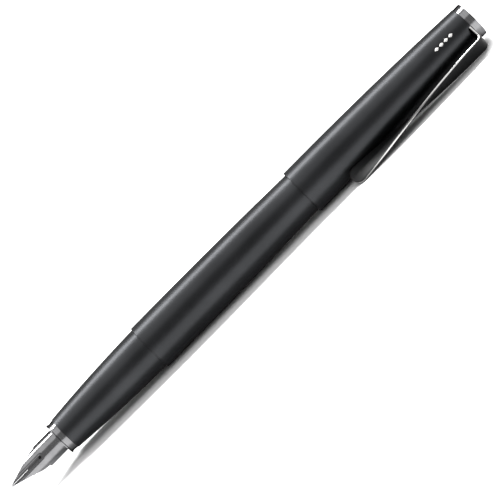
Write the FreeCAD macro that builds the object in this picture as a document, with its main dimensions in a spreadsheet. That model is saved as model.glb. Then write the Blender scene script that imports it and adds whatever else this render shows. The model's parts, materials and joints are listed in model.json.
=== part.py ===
"""A metal fountain pen with its cap posted on the rear of the barrel.

Every piece is drawn along the pen's own axis: x runs from the point of the nib (x = 0) to the
crown of the cap, and the nib's face, or the root of the clip, points to +Z. Each piece's
Placement then lays the pen on its side, so that it rests on the barrel and on the far edge of the
clip. The origin is on the floor, under the middle of the bounding box. All lengths are
millimetres.
"""
import FreeCAD, Part
import math
import os
import re

import Sketcher
from FreeCAD import Placement, Rotation, Vector

doc = FreeCAD.newDocument("FountainPen")

# Cells whose names end in _x are places along the axis, and those that end in _r are radii.
SIZES = {
    # nib and its hard point
    "tip_x": 0.7, "tip_r": 0.42, "tip_height": 2.2,
    "nib_front_r": 2.42, "nib_r": 3.14, "nib_bend_x": 10.5, "nib_rear_x": 24.5,
    "nib_sheet": 0.25, "nib_wrap": 200.0,
    "nib_point_width": 0.35, "shoulder_x": 7.6, "shoulder_width": 2.44,
    "waist_x": 9.8, "waist_width": 2.81, "shoulder_curve_r": 7.5,
    "breather_x": 9.57, "breather_r": 0.38, "slit_width": 0.08,
    # feed
    "feed_front_x": 5.5, "feed_front_r": 2.4, "feed_r": 2.85, "feed_rear_x": 34.0,
    "feed_tail_r": 0.45, "feed_tail_x": 39.5,
    "fin_first_x": 18.0, "fin_count": 15, "fin_pitch": 0.8, "fin_gap": 0.35, "fin_root_r": 1.65,
    "channel_width": 0.3, "channel_depth": 0.5,
    # polished ring at the mouth of the grip
    "ring_x": 15.6, "ring_bore_r": 3.35, "ring_lip_r": 4.48, "ring_waist_r": 4.2,
    "ring_rear_r": 4.39, "ring_lip": 0.25, "spigot_x": 21.0, "spigot_r": 3.9,
    # grip
    "grip_x": 17.55, "grip_front_r": 4.51, "grip_rear_r": 5.83, "grip_curve_r": 412.0,
    "joint_x": 45.8,
    # section core: socket, nipple and thread
    "core_step_x": 28.0, "core_step_r": 4.3, "core_shoulder_x": 36.0, "core_r": 4.85,
    "socket_r": 3.2, "cavity_r": 3.8, "nipple_r": 1.3, "nipple_bore_r": 0.5, "nipple_x": 40.3,
    "thread_crest_r": 4.9, "thread_root_r": 4.5, "thread_x": 46.6, "thread_pitch": 0.9,
    "thread_count": 7, "core_rear_x": 53.5,
    # converter
    "tube_x": 37.0, "tube_r": 3.6, "tube_bore_r": 3.05, "tube_rear_x": 86.0,
    "mouth_x": 39.5, "mouth_r": 1.32,
    "collar_x": 78.0, "collar_rear_x": 92.0, "collar_r": 3.95,
    "guide_x": 80.0, "guide_rear_x": 91.5, "guide_bore_r": 2.0, "guide_flat": 1.65,
    "knob_x": 92.3, "knob_rear_x": 107.0, "knob_r": 3.7, "knob_bore_r": 2.3,
    "knob_floor_x": 105.5, "knob_groove_r": 0.28, "knob_grooves": 24,
    "spindle_x": 76.0, "spindle_r": 1.0, "spindle_rear_x": 106.2,
    "plunger_x": 45.5, "plunger_r": 1.9, "plunger_flat": 1.6, "plunger_bore_r": 1.1,
    "plunger_bore_x": 46.5, "plunger_rear_x": 83.0, "stub_x": 43.0, "stub_r": 1.0,
    "seal_x": 41.0, "seal_r": 3.0, "seal_waist_r": 2.7,
    # barrel
    "barrel_r": 6.23, "taper_x": 52.0, "taper_curve_r": 1600.0, "barrel_rear_x": 125.0,
    "barrel_wall": 0.7, "insert_x": 46.0, "insert_rear_x": 56.0, "insert_r": 5.55,
    "insert_bore_r": 5.0, "barrel_floor_x": 122.0, "plug_spigot_r": 3.2,
    "plug_r": 4.25, "plug_x": 128.9, "plug_edge": 0.3,
    # cap
    "lip_x": 96.9, "lip_r": 6.22, "lip_bore_r": 5.9, "lip_rear_x": 110.0,
    "cap_curve_r": 1090.0, "cap_wall": 0.55, "cap_floor_x": 150.4, "cap_rear_x": 152.1,
    "stud_hole_r": 1.6, "liner_x": 112.0, "liner_r": 5.5, "liner_bore_r": 5.2,
    "liner_stop_x": 129.5, "liner_stop_r": 4.4, "liner_room_r": 3.9,
    "liner_floor_x": 146.0, "liner_rear_x": 147.0, "liner_rear_r": 4.43,
    "crown_x": 154.1, "crown_r": 4.74, "crown_edge": 0.15, "stud_r": 1.5, "stud_x": 147.6,
    "nut_x": 148.0, "nut_flats": 5.0, "washer_x": 150.1, "washer_r": 2.8,
    # clip: a sheet that bends over the end of the cap and turns on edge along its side
    "clip_sheet": 0.6, "foot_r": 4.8, "foot_half_width": 2.9, "foot_end": 3.2,
    "bend_r": 1.4, "root_height": 6.7, "root_width": 4.2,
    "clip_end_x": 107.0, "clip_end_height": 8.82, "clip_end_width": 5.05,
    "clip_twist": 100.8, "clip_twist_power": 1.36, "clip_end_r": 2.45,
    # how the pen lies, in degrees about its axis, and where its axis is from the origin
    "pen_roll": 67.87, "cap_roll": 120.87, "middle_x": 77.05, "axis_y": 1.805,
}


def fill_sheet():
    """Put every size in the document's spreadsheet, under its own name."""
    sheet = doc.addObject("Spreadsheet::Sheet", "Sizes")
    for row, (name, value) in enumerate(SIZES.items(), start=1):
        sheet.set(f"A{row}", name)
        sheet.set(f"B{row}", str(value))
        sheet.setAlias(f"B{row}", name)
    doc.recompute()
    return sheet


sizes = fill_sheet()


def linked(text):
    """Point the names of cells in a formula at the spreadsheet."""
    return re.sub(r"\b[A-Za-z_]\w*\b(?!\()", lambda name: "Sizes." + name.group(0), text)


def size(text):
    """The present value of a formula made of cell names."""
    return float(sizes.evalExpression(linked(text)))


# ---------------------------------------------------------------- sketches and features

def sketch_on(body, role, name, offset=None):
    """A sketch on one of a body's own origin planes, moved off it by an optional formula."""
    plane = next(item for item in body.Origin.OriginFeatures if item.Role == role)
    sketch = body.newObject("Sketcher::SketchObject", name)
    sketch.AttachmentSupport = (plane, "")
    sketch.MapMode = "FlatFace"
    if offset:
        sketch.setExpression("AttachmentOffset.Base.z", linked(offset))
    return sketch


def arc_between(start, end, radius):
    """The arc from start to end that turns left, or right if the radius is negative."""
    half = (end - start) * 0.5
    to_left = Vector(-half.y, half.x, 0).normalize()
    reach = math.sqrt(radius ** 2 - half.Length ** 2)
    centre = start + half + to_left * math.copysign(reach, radius)
    first, last = (start, end) if radius > 0 else (end, start)
    circle = Part.Circle(centre, Vector(0, 0, 1), abs(radius))
    return Part.ArcOfCircle(circle, circle.parameter(first), circle.parameter(last))


def add_outline(sketch, corners):
    """Draw a closed outline through corners, each tied to the formulas that place it.

    A corner is (across, up), or (across, up, radius) where an arc leads to the next corner.
    """
    points = [Vector(size(corner[0]), size(corner[1]), 0) for corner in corners]
    edges = []
    for index, corner in enumerate(corners):
        start, end = points[index], points[(index + 1) % len(points)]
        if len(corner) == 3:
            radius = size(corner[2])
            edge = sketch.addGeometry(arc_between(start, end, radius), False)
            edges.append((edge, 1, 2) if radius > 0 else (edge, 2, 1))
        else:
            edges.append((sketch.addGeometry(Part.LineSegment(start, end), False), 1, 2))
    for index, (edge, start, end) in enumerate(edges):
        after, after_start, _ = edges[(index + 1) % len(edges)]
        sketch.addConstraint(Sketcher.Constraint("Coincident", edge, end, after, after_start))
    for corner, point, (edge, start, _) in zip(corners, points, edges):
        tie(sketch, "DistanceX", edge, start, point.x, corner[0])
        tie(sketch, "DistanceY", edge, start, point.y, corner[1])
        if len(corner) == 3:
            radius = sketch.addConstraint(
                Sketcher.Constraint("Radius", edge, abs(size(corner[2]))))
            sketch.setExpression(f"Constraints[{radius}]", linked(f"abs({corner[2]})"))


def tie(sketch, kind, edge, end, value, formula):
    """Tie one end of an edge to a distance from the sketch's origin."""
    if abs(value) < 1e-9:
        axis = -2 if kind == "DistanceX" else -1
        sketch.addConstraint(Sketcher.Constraint("PointOnObject", edge, end, axis))
        return
    number = sketch.addConstraint(Sketcher.Constraint(kind, -1, 1, edge, end, value))
    sketch.setExpression(f"Constraints[{number}]", linked(formula))


def turned(label, corners, angle="360"):
    """A body turned about the pen's axis from an outline of places along it and radii."""
    body = doc.addObject("PartDesign::Body", label)
    sketch = sketch_on(body, "XZ_Plane", label + "_profile")
    add_outline(sketch, corners)
    solid = body.newObject("PartDesign::Revolution", label + "_turned")
    solid.Profile = sketch
    solid.ReferenceAxis = (sketch, ["H_Axis"])
    solid.Midplane = True
    solid.setExpression("Angle", linked(angle))
    doc.recompute()
    return body


def cut(body, role, name, outlines, depth=None, offset=None):
    """Cut outlines through a body, evenly to both sides of an origin plane."""
    before = body.Shape.Volume
    sketch = sketch_on(body, role, name, offset)
    for corners in outlines:
        add_outline(sketch, corners)
    pocket = body.newObject("PartDesign::Pocket", name + "_cut")
    pocket.Profile = sketch
    pocket.SideType = "Symmetric"
    if depth:
        pocket.Type = "Length"
        pocket.setExpression("Length", linked(depth))
    else:
        pocket.Type = "ThroughAll"
    doc.recompute()
    if body.Shape.Volume >= before - 1e-6:
        raise RuntimeError(f"{name} cuts nothing")
    return pocket


def drill(body, role, name, across, up, radius):
    """Drill one round hole through a body, square to an origin plane."""
    before = body.Shape.Volume
    sketch = sketch_on(body, role, name)
    circle = Part.Circle(Vector(size(across), size(up), 0), Vector(0, 0, 1), size(radius))
    edge = sketch.addGeometry(circle, False)
    tie(sketch, "DistanceX", edge, 3, size(across), across)
    tie(sketch, "DistanceY", edge, 3, size(up), up)
    number = sketch.addConstraint(Sketcher.Constraint("Radius", edge, size(radius)))
    sketch.setExpression(f"Constraints[{number}]", linked(radius))
    pocket = body.newObject("PartDesign::Pocket", name + "_cut")
    pocket.Profile = sketch
    pocket.SideType = "Symmetric"
    pocket.Type = "ThroughAll"
    doc.recompute()
    if body.Shape.Volume >= before - 1e-6:
        raise RuntimeError(f"{name} cuts nothing")
    return pocket


def around(body, feature, count):
    """Repeat a cut evenly around the pen's axis."""
    pattern = body.newObject("PartDesign::PolarPattern", feature.Name + "_pattern")
    pattern.Originals = [feature]
    axis = next(item for item in body.Origin.OriginFeatures if item.Role == "X_Axis")
    pattern.Axis = (axis, [""])
    pattern.Angle = 360
    pattern.setExpression("Occurrences", linked(count))
    body.Tip = pattern
    doc.recompute()


def rectangle(left, right, bottom, top):
    """The four corners of an upright rectangle."""
    return [(left, bottom), (right, bottom), (right, top), (left, top)]


# ---------------------------------------------------------------- writing end

def make_nib():
    """A folded sheet nib: a rolled shell whose front is cut to a point and slit."""
    inner = "nib_r - nib_sheet"
    front_inner = "nib_front_r - nib_sheet"
    # Radius of the shallow curve that brings the shell down to the point, level at its rear end.
    run = "(nib_bend_x - tip_x)"
    drop = "(nib_r - nib_front_r)"
    curve = f"({run}^2 + {drop}^2) / (2 * {drop})"
    body = turned("nib", [
        ("tip_x", "nib_front_r", f"0 - {curve}"),
        ("nib_bend_x", "nib_r"),
        ("nib_rear_x", "nib_r"),
        ("nib_rear_x", inner),
        ("nib_bend_x", inner, curve),
        ("tip_x", front_inner),
    ], angle="nib_wrap")
    outside = []
    for side in ("", "0 - "):
        turn = "0 - shoulder_curve_r" if side == "" else "shoulder_curve_r"
        outside.append([
            ("tip_x - 1", f"{side}nib_point_width"),
            ("tip_x", f"{side}nib_point_width"),
            ("shoulder_x", f"{side}shoulder_width", turn),
            ("waist_x", f"{side}waist_width"),
            ("waist_x", f"{side}2 * nib_r"),
            ("tip_x - 1", f"{side}2 * nib_r"),
        ])
    cut(body, "XY_Plane", "nib_outline", outside)
    half = "slit_width / 2"
    cut(body, "XY_Plane", "nib_slit", [rectangle("tip_x - 1", "breather_x", f"0 - {half}", half)])
    drill(body, "XY_Plane", "breather", "breather_x", "0", "breather_r")


def make_tipping():
    """The hard point: a small ball split by the slit and ground flat where it meets the nib."""
    ball = doc.addObject("Part::Sphere", "tip_ball")
    ball.setExpression("Radius", linked("tip_r"))
    ball.setExpression("Placement.Base.x", linked("tip_r"))
    ball.setExpression("Placement.Base.z", linked("tip_height"))
    slit = doc.addObject("Part::Box", "tip_slit")
    rear = doc.addObject("Part::Box", "tip_rear")
    for box, wide in ((slit, "slit_width"), (rear, "2")):
        box.setExpression("Length", linked("2"))
        box.setExpression("Width", linked(wide))
        box.setExpression("Height", linked("2 * nib_r"))
        box.setExpression("Placement.Base.y", linked(f"0 - {wide} / 2"))
    slit.setExpression("Placement.Base.x", linked("0 - 0.5"))
    rear.setExpression("Placement.Base.x", linked("tip_x"))
    tools = doc.addObject("Part::Fuse", "tip_tools")
    tools.Base, tools.Tool = slit, rear
    tipping = doc.addObject("Part::Cut", "nib_tipping")
    tipping.Base, tipping.Tool = ball, tools


def make_feed():
    """The feed under the nib: sloped underneath, with ink fins, a channel and a tail."""
    body = turned("feed", [
        ("feed_front_x", "0"),
        ("feed_front_x", "feed_front_r"),
        ("waist_x", "feed_r - 0.07"),
        ("nib_bend_x", "feed_r"),
        ("feed_rear_x", "feed_r"),
        ("feed_rear_x", "feed_tail_r"),
        ("feed_tail_x", "feed_tail_r"),
        ("feed_tail_x", "0"),
    ])
    cut(body, "XZ_Plane", "feed_slope", [[
        ("feed_front_x - 1", "feed_front_r - 0.9"),
        ("feed_front_x + 0.7", "feed_front_r - 0.9"),
        ("ring_x - 1", "0 - feed_r - 0.1"),
        ("feed_front_x - 1", "0 - feed_r - 0.1"),
    ]])
    cut(body, "XZ_Plane", "feed_channel", [rectangle(
        "feed_front_x + 0.5", "feed_rear_x - 1", "feed_r - channel_depth", "feed_r + 0.2",
    )], depth="channel_width")
    sketch = sketch_on(body, "XZ_Plane", "feed_fins")
    for number in range(int(size("fin_count"))):
        left = f"fin_first_x + {number} * fin_pitch"
        add_outline(sketch, rectangle(left, f"{left} + fin_gap", "fin_root_r", "feed_r + 0.2"))
    groove = body.newObject("PartDesign::Groove", "feed_fins_cut")
    groove.Profile = sketch
    groove.ReferenceAxis = (sketch, ["H_Axis"])
    groove.Angle = 360
    doc.recompute()


def make_front_ring():
    """The polished ring: a thin sharp lip, a hollow waist, and a spigot inside the grip."""
    turned("front_ring", [
        ("ring_x", "ring_bore_r"),
        ("ring_x", "ring_lip_r - 0.08"),
        ("ring_x + 0.08", "ring_lip_r"),
        ("ring_x + ring_lip", "ring_lip_r"),
        ("ring_x + 1.6 * ring_lip", "ring_waist_r"),
        ("grip_x", "ring_rear_r"),
        ("grip_x", "spigot_r"),
        ("spigot_x", "spigot_r"),
        ("spigot_x", "ring_bore_r"),
    ])


def make_grip():
    """The grip sleeve: a long shallow curve outside and a stepped bore over the core."""
    turned("grip_shell", [
        ("grip_x", "spigot_r"),
        ("grip_x", "grip_front_r", "0 - grip_curve_r"),
        ("joint_x", "grip_rear_r"),
        ("joint_x", "core_r"),
        ("core_shoulder_x", "core_r"),
        ("core_shoulder_x", "core_step_r"),
        ("core_step_x", "core_step_r"),
        ("core_step_x", "spigot_r"),
    ])


def make_core():
    """The section core: nib socket, ink nipple, converter cavity and the male thread."""
    ridges = []
    for number in range(int(size("thread_count"))):
        left = f"thread_x + {number} * thread_pitch"
        ridges += [
            (left, "thread_root_r"),
            (f"{left} + 0.3 * thread_pitch", "thread_crest_r"),
            (f"{left} + 0.45 * thread_pitch", "thread_crest_r"),
            (f"{left} + 0.75 * thread_pitch", "thread_root_r"),
        ]
    turned("section_core", [
        ("spigot_x", "socket_r"),
        ("spigot_x", "spigot_r"),
        ("core_step_x", "spigot_r"),
        ("core_step_x", "core_step_r"),
        ("core_shoulder_x", "core_step_r"),
        ("core_shoulder_x", "core_r"),
        ("joint_x", "core_r"),
        ("joint_x + 0.2", "thread_root_r"),
        *ridges,
        ("core_rear_x", "thread_root_r"),
        ("core_rear_x", "cavity_r"),
        ("core_shoulder_x", "cavity_r"),
        ("core_shoulder_x", "nipple_r"),
        ("nipple_x", "nipple_r"),
        ("nipple_x", "nipple_bore_r"),
        ("feed_rear_x", "nipple_bore_r"),
        ("feed_rear_x", "socket_r"),
    ])


# ---------------------------------------------------------------- converter

def make_tube():
    """The clear ink tube, with the narrow mouth that seals on the nipple."""
    turned("converter_tube", [
        ("tube_x", "mouth_r"),
        ("tube_x", "tube_r - 0.3"),
        ("tube_x + 0.3", "tube_r"),
        ("tube_rear_x", "tube_r"),
        ("tube_rear_x", "tube_bore_r"),
        ("mouth_x", "tube_bore_r"),
        ("mouth_x", "mouth_r"),
    ])


def make_collar():
    """The metal collar that joins the tube to the knob."""
    turned("converter_collar", [
        ("collar_x", "tube_r"),
        ("collar_x", "collar_r"),
        ("collar_rear_x", "collar_r"),
        ("collar_rear_x", "tube_r"),
    ])


def flats(across, length_from, length_to, reach):
    """Two outlines that trim a round bar to a width, seen from above."""
    return [
        rectangle(length_from, length_to, across, reach),
        rectangle(length_from, length_to, f"0 - ({reach})", f"0 - ({across})"),
    ]


def make_guide():
    """The guide in the collar: its bore has two flats that keep the plunger from turning."""
    body = turned("converter_guide", [
        ("guide_x", "0"),
        ("guide_x", "tube_bore_r"),
        ("tube_rear_x", "tube_bore_r"),
        ("tube_rear_x", "tube_r"),
        ("guide_rear_x", "tube_r"),
        ("guide_rear_x", "0"),
    ])
    rise = "sqrt(guide_bore_r^2 - guide_flat^2)"
    cut(body, "YZ_Plane", "guide_bore", [[
        ("guide_flat", f"0 - {rise}"),
        ("guide_flat", rise, "guide_bore_r"),
        ("0 - guide_flat", rise),
        ("0 - guide_flat", f"0 - {rise}", "guide_bore_r"),
    ]])


def make_knob():
    """The ribbed knob, hollow to take the plunger as it rises."""
    body = turned("converter_knob", [
        ("knob_x", "knob_bore_r"),
        ("knob_x", "knob_r - 0.2"),
        ("knob_x + 0.2", "knob_r"),
        ("knob_rear_x - 0.5", "knob_r"),
        ("knob_rear_x", "knob_r - 0.5"),
        ("knob_rear_x", "0"),
        ("spindle_rear_x", "0"),
        ("spindle_rear_x", "spindle_r"),
        ("knob_floor_x", "spindle_r"),
        ("knob_floor_x", "knob_bore_r"),
    ])
    flute = "knob_groove_r"
    groove = cut(body, "XY_Plane", "knob_flute", [rectangle(
        "knob_x + 2", "knob_rear_x - 1.5", f"knob_r - {flute}", "knob_r + 1",
    )], depth=f"1.2 * {flute}")
    around(body, groove, "knob_grooves")


def make_spindle():
    """The drive screw, fixed in the knob and turning inside the plunger."""
    turned("converter_spindle", [
        ("spindle_x", "0"),
        ("spindle_x", "spindle_r - 0.3"),
        ("spindle_x + 0.4", "spindle_r"),
        ("spindle_rear_x", "spindle_r"),
        ("spindle_rear_x", "0"),
    ])


def make_plunger():
    """The plunger: a hollow bar with two flats and a stub that holds the seal."""
    body = turned("piston_plunger", [
        ("stub_x", "0"),
        ("stub_x", "stub_r"),
        ("plunger_x", "stub_r"),
        ("plunger_x", "plunger_r"),
        ("plunger_rear_x", "plunger_r"),
        ("plunger_rear_x", "plunger_bore_r"),
        ("plunger_bore_x", "plunger_bore_r"),
        ("plunger_bore_x", "0"),
    ])
    cut(body, "XY_Plane", "plunger_flats", flats(
        "plunger_flat", "plunger_x - 1", "plunger_rear_x + 1", "plunger_r + 1"))


def make_seal():
    """The seal: two lips with a waist between them, hollow behind for the plunger's stub."""
    turned("piston_seal", [
        ("seal_x", "0"),
        ("seal_x", "seal_r - 0.3"),
        ("seal_x + 0.3", "seal_r"),
        ("seal_x + 1.2", "seal_r"),
        ("seal_x + 1.6", "seal_waist_r"),
        ("plunger_x - 1.6", "seal_waist_r"),
        ("plunger_x - 1.2", "seal_r"),
        ("plunger_x", "seal_r"),
        ("plunger_x", "stub_r"),
        ("stub_x", "stub_r"),
        ("stub_x", "0"),
    ])


# ---------------------------------------------------------------- barrel

def tapered(x, first_x, first_r, curve_r):
    """Radius at x of an outline that starts level at first_x and falls along one arc."""
    return f"{first_r} - ({curve_r}) + sqrt(({curve_r})^2 - ({x} - {first_x})^2)"


def make_barrel():
    """The barrel: a short cylinder, a long falling curve, and an even wall behind the thread."""
    inner_curve = "taper_curve_r - barrel_wall"
    inner_first = "barrel_r - barrel_wall"
    turned("barrel_shell", [
        ("joint_x", "insert_r"),
        ("joint_x", "barrel_r"),
        ("taper_x", "barrel_r", "0 - taper_curve_r"),
        ("barrel_rear_x", tapered("barrel_rear_x", "taper_x", "barrel_r", "taper_curve_r")),
        ("barrel_rear_x", "plug_spigot_r"),
        ("barrel_floor_x", "plug_spigot_r"),
        ("barrel_floor_x",
         tapered("barrel_floor_x", "taper_x", inner_first, inner_curve), inner_curve),
        ("insert_rear_x", tapered("insert_rear_x", "taper_x", inner_first, inner_curve)),
        ("insert_rear_x", "insert_r"),
    ])
    turned("barrel_thread_insert", [
        ("insert_x", "insert_bore_r"),
        ("insert_x", "insert_r"),
        ("insert_rear_x", "insert_r"),
        ("insert_rear_x", "insert_bore_r"),
    ])
    turned("barrel_end_plug", [
        ("barrel_floor_x", "0"),
        ("barrel_floor_x", "plug_spigot_r"),
        ("barrel_rear_x", "plug_spigot_r"),
        ("barrel_rear_x", "plug_r"),
        ("plug_x - plug_edge", "plug_r"),
        ("plug_x", "plug_r - plug_edge"),
        ("plug_x", "0"),
    ])


# ---------------------------------------------------------------- cap

FOOT_SHOULDER = "sqrt(foot_r^2 - foot_half_width^2)"


def make_cap_shell():
    """The cap: thin at the lip, an even wall to a flat end, and a seat for the clip's foot."""
    inner_curve = "cap_curve_r - cap_wall"
    inner_first = "lip_r - cap_wall"
    body = turned("cap_shell", [
        ("lip_x", "lip_bore_r"),
        ("lip_x", "lip_r", "0 - cap_curve_r"),
        ("cap_rear_x", tapered("cap_rear_x", "lip_x", "lip_r", "cap_curve_r")),
        ("cap_rear_x", "stud_hole_r"),
        ("cap_floor_x", "stud_hole_r"),
        ("cap_floor_x", tapered("cap_floor_x", "lip_x", inner_first, inner_curve), inner_curve),
        ("lip_rear_x", tapered("lip_rear_x", "lip_x", inner_first, inner_curve)),
        ("lip_rear_x - 1.5", "lip_bore_r"),
    ])
    seat = rectangle("0 - foot_half_width", "foot_half_width", "0 - foot_end", "2 * foot_r")
    cut(body, "YZ_Plane", "foot_seat", [seat], depth="2 * clip_sheet", offset="cap_rear_x")


def make_liner():
    """The plastic liner: its tapered mouth grips the barrel, and its room covers the nib."""
    turned("inner_cap", [
        ("liner_x", "liner_bore_r"),
        ("liner_x", "liner_r"),
        ("liner_rear_x", "liner_rear_r"),
        ("liner_rear_x", "0"),
        ("liner_floor_x", "0"),
        ("liner_floor_x", "liner_room_r"),
        ("liner_stop_x", "liner_room_r"),
        ("liner_stop_x", "liner_stop_r"),
        ("barrel_rear_x", "liner_stop_r + 0.28"),
    ])


def make_crown():
    """The polished crown, with the stud that clamps the clip's foot, its nut and its washer."""
    turned("cap_crown", [
        ("cap_rear_x", "stud_r"),
        ("cap_rear_x", "crown_r"),
        ("crown_x - crown_edge", "crown_r"),
        ("crown_x", "crown_r - crown_edge"),
        ("crown_x", "0"),
        ("stud_x", "0"),
        ("stud_x", "stud_r"),
    ])
    turned("crown_washer", [
        ("washer_x", "stud_hole_r"),
        ("washer_x", "washer_r"),
        ("cap_floor_x", "washer_r"),
        ("cap_floor_x", "stud_hole_r"),
    ])
    outer = doc.addObject("Part::Prism", "nut_hexagon")
    outer.Polygon = 6
    outer.setExpression("Circumradius", linked("nut_flats / sqrt(3)"))
    bore = doc.addObject("Part::Cylinder", "nut_bore")
    bore.setExpression("Radius", linked("stud_r"))
    for piece in (outer, bore):
        piece.setExpression("Height", linked("washer_x - nut_x"))
        piece.Placement.Rotation = Rotation(Vector(0, 1, 0), 90)
        piece.setExpression("Placement.Base.x", linked("nut_x"))
    nut = doc.addObject("Part::Cut", "crown_nut")
    nut.Base, nut.Tool = outer, bore


def make_clip_foot():
    """The clip's foot: a flat tongue of the sheet, held between the cap's end and the crown."""
    body = doc.addObject("PartDesign::Body", "clip_foot")
    sketch = sketch_on(body, "YZ_Plane", "foot_outline", offset="cap_rear_x - clip_sheet")
    add_outline(sketch, [
        ("foot_half_width", "0 - foot_end"),
        ("foot_half_width", FOOT_SHOULDER),
        ("root_width / 2", "root_height"),
        ("0 - root_width / 2", "root_height"),
        ("0 - foot_half_width", FOOT_SHOULDER),
        ("0 - foot_half_width", "0 - foot_end"),
    ])
    pad = body.newObject("PartDesign::Pad", "foot_sheet")
    pad.Profile = sketch
    pad.setExpression("Length", linked("clip_sheet"))
    doc.recompute()
    drill(body, "YZ_Plane", "foot_hole", "0", "0", "stud_hole_r")


def clip_section(body, share):
    """The strip's cross-section at a share of the way from its root to its free end."""
    run = "(cap_rear_x - bend_r - clip_end_x)"
    root_middle = "(root_height + bend_r - clip_sheet / 2)"
    middle = f"{root_middle} + {share} * (clip_end_height - {root_middle})"
    half = f"(root_width + {share} * (clip_end_width - root_width)) / 2"
    turn = f"(clip_twist * {share}^clip_twist_power)"
    sketch = sketch_on(body, "YZ_Plane", f"clip_section_{round(10 * share)}",
                       offset=f"cap_rear_x - bend_r - {share} * {run}")
    corners = []
    for side, face in ((1, 1), (-1, 1), (-1, -1), (1, -1)):
        corners.append((
            f"({side}) * {half} * cos({turn}) - ({face}) * clip_sheet / 2 * sin({turn})",
            f"{middle} + ({side}) * {half} * sin({turn}) + ({face}) * clip_sheet / 2 * cos({turn})",
        ))
    add_outline(sketch, corners)
    return sketch


def make_clip():
    """The clip's blade: a right-angle bend, then a strip that twists about its own middle."""
    body = doc.addObject("PartDesign::Body", "clip_blade")
    bend = sketch_on(body, "XZ_Plane", "clip_bend")
    top = "root_height + bend_r"
    inner_r = "bend_r - clip_sheet"
    add_outline(bend, [
        ("cap_rear_x", "root_height", "bend_r"),
        ("cap_rear_x - bend_r", top),
        ("cap_rear_x - bend_r", f"{top} - clip_sheet", f"0 - ({inner_r})"),
        ("cap_rear_x - clip_sheet", "root_height"),
    ])
    pad = body.newObject("PartDesign::Pad", "clip_bend_sheet")
    pad.Profile = bend
    pad.SideType = "Symmetric"
    pad.setExpression("Length", linked("root_width"))
    doc.recompute()
    sections = [clip_section(body, share) for share in (0.0, 0.2, 0.4, 0.6, 0.8, 1.0)]
    blade = body.newObject("PartDesign::AdditiveLoft", "clip_strip")
    blade.Profile = sections[0]
    blade.Sections = sections[1:]
    doc.recompute()
    # The free end is cut to a full round by taking away its two corners.
    corners = []
    for reach, turn in (("1", "clip_end_r"), ("0 - 1", "0 - clip_end_r")):
        edge = f"clip_end_height + ({reach}) * clip_end_width / 2"
        corners.append([
            ("clip_end_x", f"{edge} - ({reach}) * clip_end_r"),
            ("clip_end_x - 1", f"{edge} - ({reach}) * clip_end_r"),
            ("clip_end_x - 1", f"{edge} + {reach}"),
            ("clip_end_x + clip_end_r", f"{edge} + {reach}"),
            ("clip_end_x + clip_end_r", edge, turn),
        ])
    cut(body, "XZ_Plane", "clip_corners", corners)


# ---------------------------------------------------------------- the pen laid on its side

WRITING_END = ["nib", "nib_tipping", "feed", "front_ring", "grip_shell", "section_core",
               "converter_tube", "converter_collar", "converter_guide", "converter_knob",
               "converter_spindle", "piston_plunger", "piston_seal", "barrel_shell",
               "barrel_thread_insert", "barrel_end_plug"]
CAP = ["cap_shell", "inner_cap", "cap_crown", "crown_nut", "crown_washer",
       "clip_foot", "clip_blade"]


def lay_down(piece, roll):
    """Turn a piece about the pen's axis and lift the axis to its height over the floor."""
    place = Placement(
        Vector(-size("middle_x"), size("axis_y"), size("barrel_r")),
        Rotation(Vector(1, 0, 0), size(roll)))
    piece.Placement = place.multiply(piece.Placement)


def check(document):
    """Stop if any object of the document failed."""
    for item in document.Objects:
        if {"Invalid", "Error"} & set(item.State):
            raise RuntimeError(f"{item.Name} is {item.State}")


def main():
    """Build every piece, lay the pen down, and write one STEP file for each piece."""
    for make in (make_nib, make_tipping, make_feed, make_front_ring, make_grip, make_core,
                 make_tube, make_collar, make_guide, make_knob, make_spindle, make_plunger,
                 make_seal, make_barrel, make_cap_shell, make_liner, make_crown,
                 make_clip_foot, make_clip):
        make()
    doc.recompute()
    pieces = []
    for names, roll in ((WRITING_END, "pen_roll"), (CAP, "cap_roll")):
        for name in names:
            piece = doc.getObject(name)
            piece.Label = name
            lay_down(piece, roll)
            pieces.append(piece)
    doc.recompute()
    check(doc)
    for piece in pieces:
        if piece.Shape.isNull() or not piece.Shape.isValid():
            raise RuntimeError(f"{piece.Label} has no valid shape")
    os.makedirs("parts", exist_ok=True)
    for piece in pieces:
        piece.Shape.exportStep(f"parts/{piece.Label}.step")
        print(f"{piece.Label}: {piece.Shape.Volume:.1f} mm3, {len(piece.Shape.Solids)} solid(s)")


main()
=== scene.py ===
"""The looks of a black metal fountain pen that lies on its side with its cap posted.

Every piece is drawn in the pen's own frame, in millimetres: x runs from the point of the nib to
the crown of the cap, and +Z is the nib's face, or the root of the clip on pieces of the cap.
Each piece is then turned about the pen's axis and laid where the CAD model says.
"""
import json
import math

import bmesh
import bpy
from mathutils import Matrix, Vector


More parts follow.
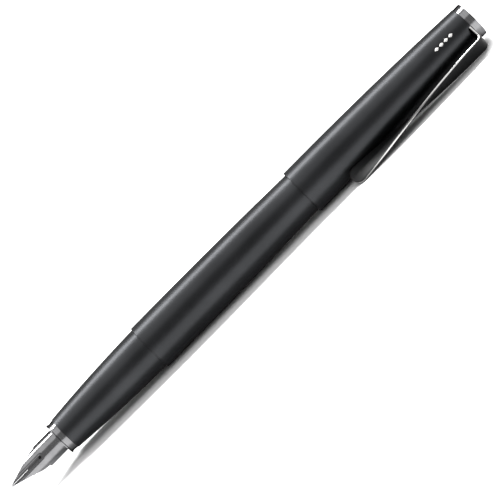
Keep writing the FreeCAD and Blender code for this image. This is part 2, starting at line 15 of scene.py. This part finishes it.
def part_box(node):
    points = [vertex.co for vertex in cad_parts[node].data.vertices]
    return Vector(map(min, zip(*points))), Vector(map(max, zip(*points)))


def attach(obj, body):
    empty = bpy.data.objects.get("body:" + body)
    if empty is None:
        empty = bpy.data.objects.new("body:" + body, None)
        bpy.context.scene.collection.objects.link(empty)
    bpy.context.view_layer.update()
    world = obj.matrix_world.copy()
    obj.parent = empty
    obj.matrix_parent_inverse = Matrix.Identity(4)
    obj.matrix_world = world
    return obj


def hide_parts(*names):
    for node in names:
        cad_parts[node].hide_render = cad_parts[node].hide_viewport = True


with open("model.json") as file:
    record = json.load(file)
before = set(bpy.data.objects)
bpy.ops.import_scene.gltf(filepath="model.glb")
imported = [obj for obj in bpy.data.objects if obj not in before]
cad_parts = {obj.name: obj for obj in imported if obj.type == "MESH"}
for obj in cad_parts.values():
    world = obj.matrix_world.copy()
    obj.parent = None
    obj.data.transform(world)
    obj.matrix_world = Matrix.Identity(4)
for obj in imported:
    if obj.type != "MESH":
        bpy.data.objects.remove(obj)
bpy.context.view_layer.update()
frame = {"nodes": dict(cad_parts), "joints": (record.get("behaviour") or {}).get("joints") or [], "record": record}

MM = 0.001
NIB_ROLL = 67.87         # degrees about the axis from +Z to the nib's face
LENGTH = 154.1           # point of the nib to the crown
ROUND_STEPS = 224        # faces around a turned piece

# ---------------------------------------------------------------- where the CAD model puts things

barrel_low, barrel_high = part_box("barrel_shell")
AXIS = Vector((
    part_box("cap_crown")[1].x - LENGTH * MM,
    (barrel_low.y + barrel_high.y) / 2,
    (barrel_low.z + barrel_high.z) / 2,
))
clip_axis = next(joint["axis"] for joint in frame["joints"] if joint["name"] == "clip_flex")
CAP_ROLL = math.degrees(math.atan2(clip_axis[2], clip_axis[1]))


def span(node):
    """Where a CAD node starts and ends along the pen, in millimetres from the nib's point."""
    low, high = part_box(node)
    return (low.x - AXIS.x) / MM, (high.x - AXIS.x) / MM


def laid(roll):
    """The matrix that lays a piece drawn in metres in the pen's own frame."""
    return Matrix.Translation(AXIS) @ Matrix.Rotation(math.radians(roll), 4, "X")


# ---------------------------------------------------------------- materials

def node(tree, kind, **sockets):
    """A shader node with its input sockets set by name."""
    made = tree.nodes.new(kind)
    for name, value in sockets.items():
        made.inputs[name.replace("_", " ")].default_value = value
    return made


def material(name, colour, roughness, metallic=0.0, grain=4000.0, depth=0.0015, patches=180.0,
             patch_roughness=0.05, patch_colour=0.12, stretch=(1, 1, 1), wear=0.0, **extra):
    """A procedural finish: fine grain in the bump, and soft patches in roughness and colour."""
    made = bpy.data.materials.new(name)
    made.use_nodes = True
    tree = made.node_tree
    shader = next(item for item in tree.nodes if item.type == "BSDF_PRINCIPLED")
    shader.inputs["Metallic"].default_value = metallic
    for socket, value in extra.items():
        shader.inputs[socket.replace("_", " ")].default_value = value
    place = tree.nodes.new("ShaderNodeTexCoord")
    scaled = node(tree, "ShaderNodeMapping", Scale=stretch)
    tree.links.new(place.outputs["Object"], scaled.inputs["Vector"])

    fine = node(tree, "ShaderNodeTexNoise", Scale=grain, Detail=4.0, Roughness=0.6)
    tree.links.new(scaled.outputs["Vector"], fine.inputs["Vector"])
    bump = node(tree, "ShaderNodeBump", Strength=0.35, Distance=depth * MM)
    tree.links.new(fine.outputs["Fac"], bump.inputs["Height"])
    tree.links.new(bump.outputs["Normal"], shader.inputs["Normal"])

    broad = node(tree, "ShaderNodeTexNoise", Scale=patches, Detail=3.0, Roughness=0.5)
    tree.links.new(scaled.outputs["Vector"], broad.inputs["Vector"])
    rough = node(tree, "ShaderNodeMapRange", From_Min=0.3, From_Max=0.7,
                 To_Min=max(roughness - patch_roughness, 0.02), To_Max=roughness + patch_roughness)
    tree.links.new(broad.outputs["Fac"], rough.inputs["Value"])
    tree.links.new(rough.outputs["Result"], shader.inputs["Roughness"])

    tint = tree.nodes.new("ShaderNodeValToRGB")
    tint.color_ramp.elements[0].color = (*[part * (1 - patch_colour) for part in colour], 1)
    tint.color_ramp.elements[1].color = (*[part * (1 + patch_colour) for part in colour], 1)
    tint.color_ramp.elements[0].position = 0.3
    tint.color_ramp.elements[1].position = 0.7
    tree.links.new(broad.outputs["Fac"], tint.inputs["Fac"])
    shade = tint.outputs["Color"]
    if wear:
        shade = worn_edges(tree, shade, wear, colour)
    tree.links.new(shade, shader.inputs["Base Color"])
    return made


def worn_edges(tree, shade, amount, colour):
    """Mix a paler tone in along convex edges, broken up by noise."""
    shape = tree.nodes.new("ShaderNodeNewGeometry")
    ridge = node(tree, "ShaderNodeMapRange", From_Min=0.53, From_Max=0.6, To_Min=0.0,
                 To_Max=amount)
    tree.links.new(shape.outputs["Pointiness"], ridge.inputs["Value"])
    mix = tree.nodes.new("ShaderNodeMix")
    mix.data_type = "RGBA"
    tree.links.new(ridge.outputs["Result"], mix.inputs["Factor"])
    tree.links.new(shade, mix.inputs[6])
    mix.inputs[7].default_value = (*[part * 0.5 + 0.09 for part in colour], 1)
    return mix.outputs[2]


TURNED = (40, 1, 1)      # squeezes noise into rings around the axis

FINISHES = {
    "body_lacquer": material("satin_black_lacquer", (0.034, 0.035, 0.037), 0.36, metallic=1.0,
                             grain=9000, depth=0.004, patches=90, patch_roughness=0.02,
                             wear=0.25, Specular_Tint=(0.85, 0.85, 0.85, 1)),
    "clip_coat": material("matte_black_coat", (0.005, 0.0052, 0.0056), 0.42, grain=12000,
                          depth=0.004, patches=120, patch_roughness=0.03, wear=0.1,
                          Specular_IOR_Level=0.2),
    "sheet_edge": material("polished_sheet_edge", (0.46, 0.455, 0.45), 0.2, metallic=1.0,
                           grain=3000, depth=0.001, stretch=(0.2, 1, 1)),
    "black_polish": material("polished_black_metal", (0.20, 0.20, 0.205), 0.17, metallic=1.0,
                             grain=2500, depth=0.0006, patches=60, patch_roughness=0.02,
                             stretch=TURNED, Specular_Tint=(0.1, 0.1, 0.1, 1)),
    "nib_black": material("polished_black_nib", (0.20, 0.20, 0.205), 0.17, metallic=1.0,
                          grain=5000, depth=0.0006, patches=300, patch_roughness=0.02,
                          Specular_Tint=(0.2, 0.2, 0.2, 1)),
    "nib_point": material("ground_hard_alloy", (0.16, 0.16, 0.165), 0.2, metallic=1.0,
                          grain=9000, depth=0.0015),
    "feed_plastic": material("moulded_black_feed", (0.012, 0.012, 0.013), 0.34, grain=6000,
                             depth=0.003),
    "core_plastic": material("moulded_black_core", (0.014, 0.014, 0.015), 0.38, grain=5000,
                             depth=0.004),
    "clear_plastic": material("clear_tube", (0.93, 0.95, 0.96), 0.05, grain=1500, depth=0.002,
                              patches=250, patch_colour=0.02, Transmission_Weight=1.0, IOR=1.49),
    "collar_chrome": material("turned_chrome", (0.72, 0.73, 0.75), 0.12, metallic=1.0,
                              grain=2500, depth=0.001, stretch=TURNED),
    "knob_plastic": material("gloss_black_knob", (0.012, 0.012, 0.013), 0.2, grain=3000,
                             depth=0.003, wear=0.3),
    "white_plastic": material("white_moulding", (0.72, 0.72, 0.69), 0.35, grain=3000,
                              depth=0.004, Subsurface_Weight=0.05),
    "seal_rubber": material("black_elastomer", (0.02, 0.02, 0.02), 0.55, grain=3000,
                            depth=0.006),
    "brass": material("turned_brass", (0.68, 0.47, 0.17), 0.25, metallic=1.0, grain=2500,
                      depth=0.002, stretch=TURNED),
    "steel": material("turned_steel", (0.55, 0.55, 0.56), 0.28, metallic=1.0, grain=2500,
                      depth=0.002, stretch=TURNED),
    "liner_plastic": material("moulded_grey_liner", (0.035, 0.036, 0.038), 0.42, grain=4000,
                              depth=0.005),
    "pale_print": material("pale_print", (0.62, 0.61, 0.6), 0.4, grain=9000, depth=0.002),
}


# ---------------------------------------------------------------- mesh helpers

def piece(name, mesh, roll, body, slot, replaces=(), finish=None):
    """Lay a mesh drawn in metres in the pen's frame, and tie it to a body and a finish."""
    made = bpy.data.objects.new(name, mesh)
    bpy.context.scene.collection.objects.link(made)
    made.matrix_world = laid(roll)
    mesh.materials.append(FINISHES[finish or slot])
    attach(made, body)
    if replaces:
        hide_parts(*replaces)
    return made


def closed_mesh(name, points, faces, merge=2e-7):
    """A smooth-shaded mesh in metres from points in millimetres, with its normals outward."""
    shape = bmesh.new()
    corners = [shape.verts.new(Vector(point) * MM) for point in points]
    for face in faces:
        shape.faces.new([corners[index] for index in face])
    bmesh.ops.remove_doubles(shape, verts=shape.verts, dist=merge)
    bmesh.ops.recalc_face_normals(shape, faces=shape.faces)
    for face in shape.faces:
        face.smooth = True
    mesh = bpy.data.meshes.new(name)
    shape.to_mesh(mesh)
    shape.free()
    return mesh


def level_arc(x_level, r_level, radius, start, end, steps=24):
    """Points from start to end on an arc that is level at x_level and falls away from it."""
    points = []
    for step in range(steps + 1):
        x = start + (end - start) * step / steps
        points.append((x, r_level - radius + math.sqrt(radius ** 2 - (x - x_level) ** 2)))
    return points


def rounded(corners, radius=0.08, steps=4, hold=0.03):
    """The outline with every real corner turned through a small curve."""
    softened = []
    count = len(corners)
    for index in range(count):
        here = Vector(corners[index])
        to_last = Vector(corners[index - 1]) - here
        to_next = Vector(corners[(index + 1) % count]) - here
        turn = math.pi - to_last.angle(to_next)
        if turn < math.radians(12):
            softened.append(tuple(here))
            continue
        cut = radius * math.tan(turn / 2)
        cut = min(cut, 0.4 * to_last.length, 0.4 * to_next.length)
        back, ahead = to_last.normalized(), to_next.normalized()
        held_back = min(cut + hold, 0.45 * to_last.length)
        held_ahead = min(cut + hold, 0.45 * to_next.length)
        softened.append(tuple(here + back * held_back))
        for step in range(steps + 1):
            t = step / steps
            softened.append(tuple(
                here + back * cut * (1 - t) ** 2 + ahead * cut * t ** 2))
        softened.append(tuple(here + ahead * held_ahead))
    return softened


def lathe(name, outline, steps=ROUND_STEPS, shaped=None):
    """Turn a closed outline of (x, radius) about the pen's axis.

    shaped(x, radius, angle) may return another (x, radius) for a point of the surface.
    """
    points = []
    for step in range(steps):
        angle = 2 * math.pi * step / steps
        for x, radius in outline:
            if shaped:
                x, radius = shaped(x, radius, angle)
            points.append((x, -radius * math.sin(angle), radius * math.cos(angle)))
    size = len(outline)
    faces = []
    for step in range(steps):
        here, after = step * size, ((step + 1) % steps) * size
        for index in range(size):
            following = (index + 1) % size
            faces.append((here + index, here + following, after + following, after + index))
    return closed_mesh_on_axis(name, points, faces)


def closed_mesh_on_axis(name, points, faces):
    """As closed_mesh, leaving out faces that shrink to nothing on the axis."""
    real = []
    for face in faces:
        on_axis = [abs(points[index][1]) + abs(points[index][2]) < 1e-6 for index in face]
        if all(on_axis):
            continue
        kept = []
        for index in face:
            if all((Vector(points[index]) - Vector(points[other])).length > 1e-6
                   for other in kept):
                kept.append(index)
        if len(kept) > 2:
            real.append(kept)
    return closed_mesh(name, points, real)


# ---------------------------------------------------------------- turned shells

def make_barrel():
    """Barrel: a short cylinder that runs into a long falling curve, and the plug of its end."""
    front, rear = span("barrel_shell")
    radius = (barrel_high.z - barrel_low.z) / 2 / MM
    taper_x, curve, wall = 52.0, 1600.0, 0.7
    thread_r, thread_rear = 5.55, span("barrel_thread_insert")[1]
    floor_x, plug_bore = span("barrel_end_plug")[0], 3.2
    outline = [(front, thread_r), (front, radius)]
    outline += level_arc(taper_x, radius, curve, taper_x, rear, 36)
    outline += [(rear, plug_bore), (floor_x, plug_bore)]
    outline += level_arc(taper_x, radius - wall, curve - wall, floor_x, thread_rear, 16)
    outline.append((thread_rear, thread_r))
    piece("barrel_skin", lathe("barrel_skin", rounded(outline)), NIB_ROLL, "barrel",
          "body_lacquer", ["barrel_shell"])

    end, plug_r = span("barrel_end_plug")[1], 4.25
    plug = [(floor_x, 0), (floor_x, plug_bore - 0.01), (rear, plug_bore - 0.01), (rear, plug_r),
            (end, plug_r), (end, 0)]
    piece("barrel_end_cap", lathe("barrel_end_cap", rounded(plug, 0.25)), NIB_ROLL, "barrel",
          "black_polish", ["barrel_end_plug"])


def make_grip():
    """Grip sleeve: one long shallow curve from the ring to the barrel."""
    front, rear = span("grip_shell")
    front_r, rear_r, curve = 4.51, 5.83, 412.0
    spigot_r, core_step_r, core_r = 3.9, 4.3, 4.85
    core_step_x, core_shoulder_x = 28.0, 36.0
    start, end = Vector((front, front_r)), Vector((rear, rear_r))
    half = (end - start) / 2
    away = Vector((half.y, -half.x)).normalized()
    centre = start + half + away * math.sqrt(curve ** 2 - half.length ** 2)
    outline = [(front, spigot_r)]
    for step in range(31):
        x = front + (rear - front) * step / 30
        outline.append((x, centre.y + math.sqrt(curve ** 2 - (x - centre.x) ** 2)))
    outline += [(rear, core_r), (core_shoulder_x, core_r), (core_shoulder_x, core_step_r),
                (core_step_x, core_step_r), (core_step_x, spigot_r)]
    piece("grip_skin", lathe("grip_skin", rounded(outline, 0.06)), NIB_ROLL, "section",
          "body_lacquer", ["grip_shell"])


def make_front_ring():
    """Polished ring: a thin lip, a waist that sweeps up behind it, and the inner spigot."""
    front, spigot_end = span("front_ring")
    rear = span("grip_shell")[0]
    bore, lip_r, waist_r, rear_r, spigot_r = 3.35, 4.48, 4.17, 4.4, 3.9
    lip_x = front + 0.25
    outline = [(front, bore), (front, lip_r), (lip_x, lip_r)]
    sweep = rear - lip_x
    foot_of_lip = 0.02
    for step in range(1, 13):
        t = step / 12
        hollow = (1 - t) ** 6 * 0.12
        outline.append((lip_x + foot_of_lip + (sweep - foot_of_lip) * t,
                        waist_r + (rear_r - waist_r) * t + hollow))
    outline += [(rear, spigot_r), (spigot_end, spigot_r), (spigot_end, bore)]
    piece("front_ring_skin", lathe("front_ring_skin", rounded(outline, 0.05)), NIB_ROLL,
          "section", "black_polish", ["front_ring"])


FOOT_HALF = 2.9          # half the width of the clip's flat tongue
FOOT_R = 4.8             # its rim, level with the cap
FOOT_END = 3.2           # how far it reaches past the axis
SHEET = 0.6              # thickness of the clip's sheet
BEND_R = 1.4             # outer radius of the clip's bend
ROOT_HEIGHT = 6.7        # where the bend starts
ROOT_WIDTH = 4.2
LIP_R, CAP_CURVE, CAP_WALL = 6.22, 1090.0, 0.55


def make_cap():
    """Cap: one long falling curve from the lip, with a seat for the clip's tongue at its end."""
    front, rear = span("cap_shell")
    lip_bore, lip_rear, floor_x, stud_hole = 5.9, 110.0, 150.4, 1.6
    outline = [(front, lip_bore), (front, LIP_R)]
    outline += level_arc(front, LIP_R, CAP_CURVE, front + 0.8, rear, 40)
    outline += [(rear, stud_hole), (floor_x, stud_hole)]
    outline += level_arc(front, LIP_R - CAP_WALL, CAP_CURVE - CAP_WALL, floor_x, lip_rear, 12)
    outline.append((lip_rear - 1.5, lip_bore))
    seat_half = math.asin(FOOT_HALF / FOOT_R)

    def seated(x, radius, angle):
        from_root = min(angle, 2 * math.pi - angle)
        if x > rear - SHEET and from_root < seat_half:
            return rear - SHEET, radius
        return x, radius

    piece("cap_skin", lathe("cap_skin", rounded(outline, 0.07), shaped=seated), CAP_ROLL, "cap",
          "body_lacquer", ["cap_shell"])

    start, end = span("cap_crown")
    crown_r, stud_r = 4.74, 1.5
    crown = [(start, 0), (start, stud_r), (rear, stud_r), (rear, crown_r), (end, crown_r), (end, 0)]
    piece("crown_skin", lathe("crown_skin", rounded(crown, 0.16, steps=6)), CAP_ROLL, "cap",
          "black_polish", ["cap_crown"])


def make_cap_print():
    """A plain row of four small lozenges on the cap, where a maker would put a mark."""
    first_x, last_x, side, half_long, half_wide = 142.6, 147.2, 0.9, 0.62, 0.42
    lift = 0.012
    lip_x = span("cap_shell")[0]
    from_root = 48.0               # degrees from the clip's root to the side the marks are on
    points, faces = [], []
    for number in range(4):
        middle = first_x + (last_x - first_x) * number / 3
        rim = []
        for step in range(24):
            angle = 2 * math.pi * step / 24
            reach = 1 / (abs(math.cos(angle)) ** 1.2 + abs(math.sin(angle)) ** 1.2) ** (1 / 1.2)
            rim.append((half_long * reach * math.cos(angle), half_wide * reach * math.sin(angle)))
        first = len(points)
        for along, across in [(0, 0)] + rim:
            x = middle + along
            radius = LIP_R - (x - lip_x) ** 2 / (2 * CAP_CURVE) + lift
            turn = math.radians(from_root) + (side + across) / radius
            points.append((x, radius * math.sin(turn), radius * math.cos(turn)))
        for step in range(24):
            faces.append((first, first + 1 + step, first + 1 + (step + 1) % 24))
    mark = piece("cap_print", closed_mesh("cap_print", points, faces), CAP_ROLL, "cap",
                 "body_lacquer", finish="pale_print")
    thicken = mark.modifiers.new("thickness", "SOLIDIFY")
    thicken.thickness = lift * MM
    thicken.offset = 0


# ---------------------------------------------------------------- clip

END_HEIGHT = 8.82        # middle of the strip at its free end
END_WIDTH = 5.05
TWIST, TWIST_POWER = 100.8, 1.36


def clip_station(t):
    """Middle of the sheet, its width's direction, its outward direction and its half width.

    t runs from -1 at the tongue to 0 at the end of the bend, and on to 1 at the free end.
    """
    rear = span("cap_shell")[1]
    inset = BEND_R - SHEET / 2
    if t < 0:
        turn = (t + 1) * math.pi / 2
        middle = Vector((rear - BEND_R + inset * math.cos(turn), 0,
                         ROOT_HEIGHT + inset * math.sin(turn)))
        outward = Vector((math.cos(turn), 0, math.sin(turn)))
        return middle, Vector((0, 1, 0)), outward, ROOT_WIDTH / 2
    root_x, end_x = rear - BEND_R, span("clip_blade")[0]
    root_middle = ROOT_HEIGHT + inset
    turn = math.radians(TWIST) * t ** TWIST_POWER
    middle = Vector((root_x + (end_x - root_x) * t, 0,
                     root_middle + (END_HEIGHT - root_middle) * t))
    across = Vector((0, math.cos(turn), math.sin(turn)))
    outward = Vector((0, -math.sin(turn), math.cos(turn)))
    return middle, across, outward, (ROOT_WIDTH + (END_WIDTH - ROOT_WIDTH) * t) / 2


def make_clip():
    """Clip blade: a bend, then a strip that turns on edge to a round end, with bare edges."""
    end_round = 2.45
    strip = span("cap_shell")[1] - BEND_R - span("clip_blade")[0]
    round_share = end_round / strip
    stations = [-1 + step / 14 for step in range(14)]
    stations += [step / 60 * (1 - round_share) for step in range(60)]
    stations += [1 - round_share * (1 - math.sin(step / 24 * math.pi / 2)) for step in range(25)]
    edge = 0.10                    # rounding of the sheet's edges
    columns = 10
    points, faces, flank = [], [], []
    for t in stations:
        middle, across, outward, half = clip_station(t)
        reach = 1.0
        into = (t - (1 - round_share)) / round_share
        if into > 0:
            reach = math.sqrt(max(1 - into ** 2, 0.0004))
        half *= reach
        soft = min(edge, half * 0.5)
        face = SHEET / 2
        ring = []
        for step in range(columns + 1):
            offset = -(half - soft) + 2 * (half - soft) * step / columns
            ring.append((offset, face))
        ring += [(half - soft * 0.3, face - soft * 0.3), (half, face - soft), (half, soft - face),
                 (half - soft * 0.3, soft * 0.3 - face)]
        for step in range(columns + 1):
            offset = (half - soft) - 2 * (half - soft) * step / columns
            ring.append((offset, -face))
        ring += [(-half + soft * 0.3, soft * 0.3 - face), (-half, soft - face),
                 (-half, face - soft), (-half + soft * 0.3, face - soft * 0.3)]
        ring_size = len(ring)
        points += [middle + across * offset + outward * height for offset, height in ring]
    for row in range(len(stations) - 1):
        here, after = row * ring_size, (row + 1) * ring_size
        for index in range(ring_size):
            following = (index + 1) % ring_size
            faces.append((here + index, here + following, after + following, after + index))
            flank.append(index % (ring_size // 2) == columns + 2)
    faces.append(tuple(range(ring_size)))
    flank.append(False)
    last = (len(stations) - 1) * ring_size
    faces.append(tuple(range(last, last + ring_size)))
    flank.append(True)
    mesh = closed_mesh("clip_strip", points, faces, merge=1e-9)
    made = piece("clip_strip", mesh, CAP_ROLL, "clip", "clip_coat", ["clip_blade"])
    mesh.materials.append(FINISHES["sheet_edge"])
    for polygon, on_flank in zip(mesh.polygons, flank):
        polygon.material_index = 1 if on_flank else 0
    even = made.modifiers.new("even_normals", "WEIGHTED_NORMAL")
    even.keep_sharp = True


def make_foot():
    """The clip's tongue: flat sheet between the cap and the crown that narrows to the bend."""
    rear = span("cap_shell")[1]
    rim = [(FOOT_HALF, -FOOT_END), (FOOT_HALF, math.sqrt(FOOT_R ** 2 - FOOT_HALF ** 2)),
           (ROOT_WIDTH / 2, ROOT_HEIGHT + 0.01)]
    rim += [(-y, z) for y, z in reversed(rim)]
    count = len(rim)
    points = [(rear - SHEET, y, z) for y, z in rim] + [(rear, y, z) for y, z in rim]
    faces = [tuple(range(count)), tuple(range(count, 2 * count))]
    faces += [(i, (i + 1) % count, count + (i + 1) % count, count + i) for i in range(count)]
    mesh = closed_mesh("clip_tongue", points, faces, merge=1e-9)
    made = piece("clip_tongue", mesh, CAP_ROLL, "cap", "black_polish", ["clip_foot"],
                 finish="clip_coat")
    mesh.materials.append(FINISHES["sheet_edge"])
    for polygon in mesh.polygons:
        polygon.material_index = 1 if abs(polygon.normal.x) < 0.5 else 0
        polygon.use_smooth = False
    soften = made.modifiers.new("edges", "BEVEL")
    soften.width = 0.12 * MM
    soften.segments = 3
    soften.material = 0
    soften.limit_method = "ANGLE"
    soften.angle_limit = math.radians(40)
    soften.harden_normals = True


# ---------------------------------------------------------------- nib

TIP_X, BEND_X, NIB_R = 0.7, 10.5, 3.14
NIB_FRONT_R = 2.42
SHOULDER_X, WAIST_X = 7.6, 9.8
HOLE_X, HOLE_R, SLIT = 9.57, 0.38, 0.04
CHANNEL_HALF, CHANNEL_END = 0.82, 9.81


def nib_radius(x):
    """Outer radius of the rolled sheet: level behind the bend, falling to the point."""
    drop = NIB_R - NIB_FRONT_R
    return NIB_R - drop * (max(BEND_X - x, 0) / (BEND_X - TIP_X)) ** 2


def nib_half_angle(x):
    """How far the sheet reaches around the axis from its middle line."""
    point_width, shoulder_width, waist_width = 0.36, 2.44, 2.81
    if x < SHOULDER_X:
        width = point_width + (shoulder_width - point_width) * (x - TIP_X) / (SHOULDER_X - TIP_X)
    else:
        t = min((x - SHOULDER_X) / (WAIST_X - SHOULDER_X), 1)
        width = shoulder_width + (waist_width - shoulder_width) * (1.55 * t - 0.55 * t * t)
    narrow = math.asin(width / nib_radius(x))
    wrap = math.radians(100)
    blend = min(max((x - WAIST_X) / 0.3, 0), 1)
    return narrow + (wrap - narrow) * blend


def nib_slit_half(x):
    """Half the gap between the tines, or of the breather hole, at x."""
    from_hole = abs(x - HOLE_X)
    hole = math.sqrt(HOLE_R ** 2 - from_hole ** 2) if from_hole < HOLE_R else 0.0
    return max(hole, SLIT if x < HOLE_X else 0.0)


def channel_depth(x, across):
    """How far the surface is pressed in at a point of the channel around the slit."""
    from_middle = abs(across) if x < CHANNEL_END else math.hypot(x - CHANNEL_END, across)
    inside = (CHANNEL_HALF - from_middle) / 0.10
    floor = 0.06 * min(max(inside, 0), 1)
    line = 0.035 * math.exp(-((CHANNEL_HALF - from_middle) / 0.055) ** 2)
    fade = min(max((x - 2.2) / 0.9, 0), 1)
    return (floor + line) * fade


def make_nib():
    """Nib: rolled sheet cut to a point, with a slit, a breather hole and a pressed channel."""
    rear = span("nib")[1]
    rows = [TIP_X + (9.0 - TIP_X) * step / 90 for step in range(90)]
    rows += [9.0 + (HOLE_X - HOLE_R - 9.0) * step / 4 for step in range(4)]
    rows += [HOLE_X - HOLE_R * math.cos(math.pi * step / 24) for step in range(25)]
    rows += [HOLE_X + HOLE_R + 0.06 * step for step in range(1, 18)]
    here = rows[-1]
    rows += [here + (rear - here) * (step / 24) ** 1.6 for step in range(1, 25)]
    columns = 88
    points, faces = [], []
    for side in (1, -1):
        first = len(points)
        for x in rows:
            radius = nib_radius(x)
            inner = math.asin(nib_slit_half(x) / radius)
            outer = nib_half_angle(x)
            for column in range(columns + 1):
                t = column / columns
                angle = inner + (outer - inner) * (0.55 * t + 0.45 * t * t)
                across = radius * math.sin(angle)
                height = radius - channel_depth(x, across)
                points.append((x, side * height * math.sin(angle), height * math.cos(angle)))
        wide = columns + 1
        for row in range(len(rows) - 1):
            for column in range(columns):
                a = first + row * wide + column
                quad = (a, a + 1, a + wide + 1, a + wide)
                faces.append(quad if side > 0 else quad[::-1])
    mesh = closed_mesh("nib_sheet", points, faces, merge=4e-7)
    made = piece("nib_sheet", mesh, NIB_ROLL, "nib", "nib_black", ["nib"])
    if sum(polygon.normal.z for polygon in mesh.polygons) < 0:
        mesh.flip_normals()
    thick = made.modifiers.new("sheet", "SOLIDIFY")
    thick.thickness = 0.24 * MM
    thick.offset = -1
    soften = made.modifiers.new("edges", "BEVEL")
    soften.width = 0.03 * MM
    soften.segments = 2
    soften.limit_method = "ANGLE"
    soften.angle_limit = math.radians(50)


def make_tipping():
    """The hard point: an oval bead, split by the slit, under the ends of the tines."""
    shape = bmesh.new()
    for side in (1, -1):
        made = bmesh.ops.create_uvsphere(shape, u_segments=48, v_segments=24, radius=1.0)
        for vert in made["verts"]:
            vert.co = Vector((0.5 + vert.co.x * 0.5, vert.co.y * 0.4, 2.2 + vert.co.z * 0.36))
        keep = made["verts"]
        geometry = keep + list({edge for vert in keep for edge in vert.link_edges})
        geometry += list({face for vert in keep for face in vert.link_faces})
        cut = bmesh.ops.bisect_plane(shape, geom=geometry, plane_co=(0, side * SLIT, 0),
                                     plane_no=(0, -side, 0), clear_outer=True)
        rim = [item for item in cut["geom_cut"] if isinstance(item, bmesh.types.BMEdge)]
        bmesh.ops.edgeloop_fill(shape, edges=rim)
    bmesh.ops.recalc_face_normals(shape, faces=shape.faces)
    for vert in shape.verts:
        vert.co *= MM
    for face in shape.faces:
        face.smooth = True
    mesh = bpy.data.meshes.new("nib_bead")
    shape.to_mesh(mesh)
    shape.free()
    mesh.set_sharp_from_angle(angle=math.radians(50))
    piece("nib_bead", mesh, NIB_ROLL, "nib", "nib_point", ["nib_tipping"])


# ---------------------------------------------------------------- pieces that stay as CAD made them

def dress_cad_nodes():
    """Give every CAD node that still shows its own procedural finish."""
    for entry in frame["record"]["subparts"]:
        shown = frame["nodes"][entry["node"]]
        if shown.hide_render:
            continue
        finish = FINISHES[entry["material_slot"]]
        shown.data.materials.clear()
        shown.data.materials.append(finish)


# ---------------------------------------------------------------- studio

TILT = 72.87             # degrees from straight down to the way the camera looks
TO_CAMERA = Vector((0, -math.sin(math.radians(TILT)), math.cos(math.radians(TILT))))
TO_CLIP = Vector((0, -math.cos(math.radians(TILT)), -math.sin(math.radians(TILT))))
ALONG = Vector((1, 0, 0))


def make_camera():
    """A long lens square to the pen, rolled so that the pen runs up to the right."""
    roll = math.radians(45.53)
    distance = 0.780
    target = AXIS + ALONG * 78.67 * MM + TO_CLIP * 0.81 * MM
    right = ALONG * math.cos(roll) + TO_CLIP * math.sin(roll)
    up = ALONG * math.sin(roll) - TO_CLIP * math.cos(roll)
    data = bpy.data.cameras.new("camera")
    data.sensor_width = 36
    data.lens = 239
    data.clip_start = 0.01
    camera = bpy.data.objects.new("camera", data)
    bpy.context.scene.collection.objects.link(camera)
    turn = Matrix((right, up, TO_CAMERA)).transposed().to_4x4()
    camera.matrix_world = Matrix.Translation(target + TO_CAMERA * distance) @ turn
    bpy.context.scene.camera = camera


def make_floor():
    """A plain pale floor with the faintest unevenness."""
    shape = bmesh.new()
    bmesh.ops.create_grid(shape, x_segments=2, y_segments=2, size=4.0)
    mesh = bpy.data.meshes.new("floor")
    shape.to_mesh(mesh)
    shape.free()
    floor = bpy.data.objects.new("floor", mesh)
    bpy.context.scene.collection.objects.link(floor)
    mesh.materials.append(material("pale_floor", (0.9, 0.9, 0.9), 0.7, grain=400,
                                   depth=0.01, patches=6, patch_colour=0.005))


def soft_light(name, towards, distance, size, power):
    """A rectangular soft light in a direction from the middle of the pen."""
    data = bpy.data.lights.new(name, "AREA")
    data.shape = "RECTANGLE"
    data.size, data.size_y = size
    data.energy = power
    light = bpy.data.objects.new(name, data)
    bpy.context.scene.collection.objects.link(light)
    middle = AXIS + ALONG * LENGTH / 2 * MM
    back = towards.normalized()
    upward = back.cross(ALONG).normalized()
    turn = Matrix((ALONG, upward, back)).transposed().to_4x4()
    light.matrix_world = Matrix.Translation(middle + back * distance) @ turn
    return light


def around_axis(degrees):
    """The direction at an angle from the camera's, towards the clip's side."""
    turn = math.radians(degrees)
    return TO_CAMERA * math.cos(turn) + TO_CLIP * math.sin(turn)


def make_lights():
    """A long soft light over the pen's far side, a broader one over its near side, a dim room."""
    soft_light("key", around_axis(-94), 0.5, (1.2, 0.14), 10.0)
    soft_light("upper", around_axis(-52), 0.8, (1.4, 0.6), 3.0)
    world = bpy.data.worlds.new("room")
    world.use_nodes = True
    background = world.node_tree.nodes["Background"]
    background.inputs["Color"].default_value = (1.0, 1.0, 1.0, 1)
    background.inputs["Strength"].default_value = 0.45
    bpy.context.scene.world = world
    bpy.context.scene.view_settings.view_transform = "Standard"


make_barrel()
make_grip()
make_front_ring()
make_cap()
make_cap_print()
make_clip()
make_foot()
make_nib()
make_tipping()
dress_cad_nodes()
make_camera()
make_floor()
make_lights()
